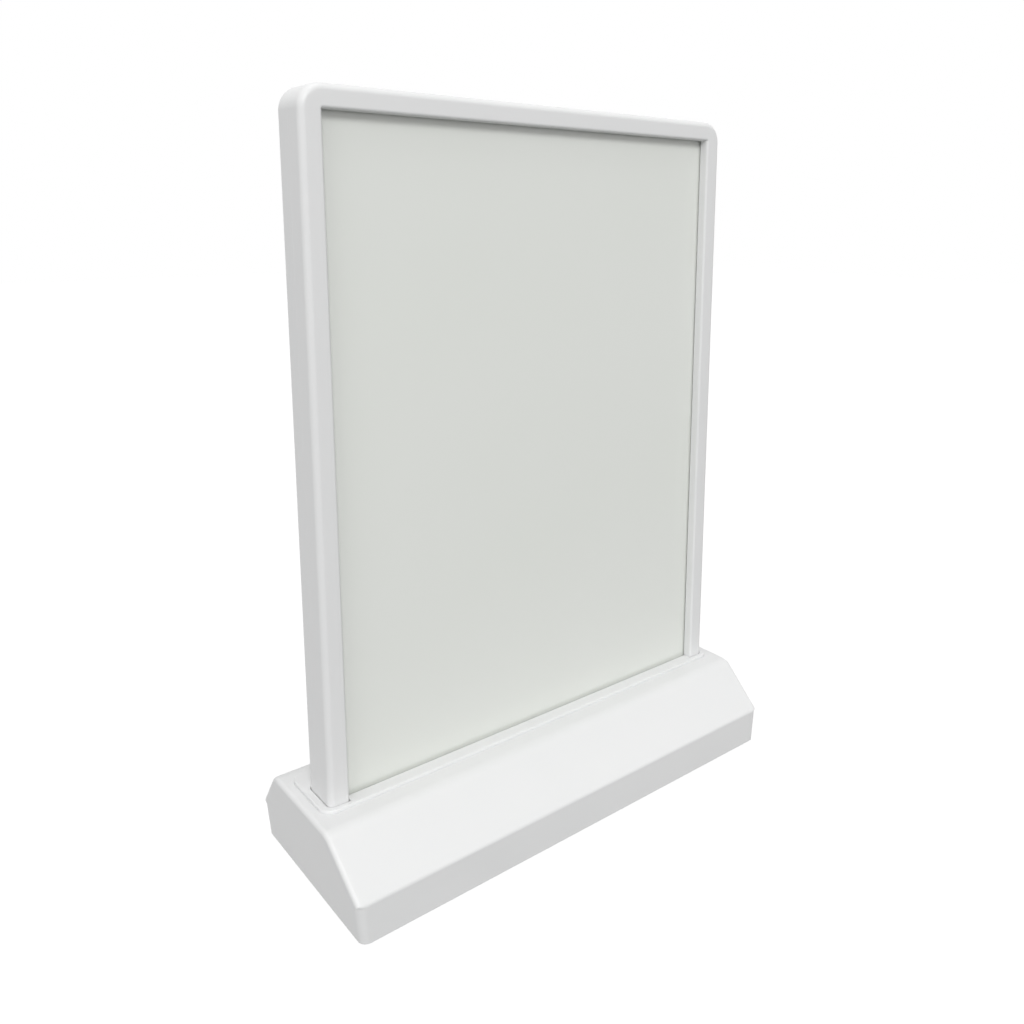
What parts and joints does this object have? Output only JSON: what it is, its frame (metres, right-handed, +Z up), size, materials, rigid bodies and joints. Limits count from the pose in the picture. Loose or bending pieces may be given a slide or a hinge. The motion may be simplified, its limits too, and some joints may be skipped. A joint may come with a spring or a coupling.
{
  "type": "tabletop light panel",
  "caption": "Double-sided tabletop light panel: a framed edge-lit sheet that plugs into a sloped base holding lamps, battery, push button and charging socket.",
  "frame": {"origin": "centre of the base's footprint on the table", "axes": "+Z up, front of the panel towards -Y, +X to the right seen from the front"},
  "size_m": [0.24, 0.091, 0.325],
  "materials": {
    "white_abs": "satin moulded",
    "grey_abs": "satin moulded",
    "rubber": "matt",
    "steel": "plated",
    "nickel": "rolled",
    "board_white": "solder mask",
    "board_green": "solder mask",
    "phosphor": "silicone",
    "black_plastic": "moulded",
    "cell_wrap": "shrink wrap",
    "lead_insulation": "extruded",
    "tape_white": "matt",
    "opal_sheet": "opal",
    "panel_cover": "polished",
    "clear_acrylic": "polished"
  },
  "bodies": {
    "base": {"base_housing": "white_abs", "bottom_cover": "white_abs", "rubber_feet": "rubber", "cover_screws": "steel", "socket_collar": "white_abs", "collar_screws": "steel", "led_board": "board_white", "led_chips": "phosphor", "led_leads": "lead_insulation", "control_board": "board_green", "board_parts": "black_plastic", "board_screws": "steel", "usb_shell": "steel", "usb_tongue": "black_plastic", "tact_switch": "black_plastic", "charge_led": "phosphor", "light_pipe": "clear_acrylic", "battery_cradle": "black_plastic", "battery_cells": "cell_wrap", "battery_tabs": "nickel", "battery_leads": "lead_insulation"},
    "panel": {"front_frame": "white_abs", "rear_frame": "white_abs", "frame_screws": "steel", "light_guide": "clear_acrylic", "edge_tape": "tape_white", "front_diffuser": "opal_sheet", "rear_diffuser": "opal_sheet", "front_cover": "panel_cover", "rear_cover": "panel_cover"},
    "button": {"button_cap": "grey_abs", "switch_plunger": "grey_abs"}
  },
  "joints": [
    {"name": "panel_lift", "type": "slide", "parent": "base", "child": "panel", "axis": [0, 0, 1], "range_m": [0, 0.06]},
    {"name": "button_press", "type": "slide", "parent": "base", "child": "button", "axis": [0, -1, 0], "range_m": [0, 0.0012], "stiffness_N_per_m": 400}
  ]
}
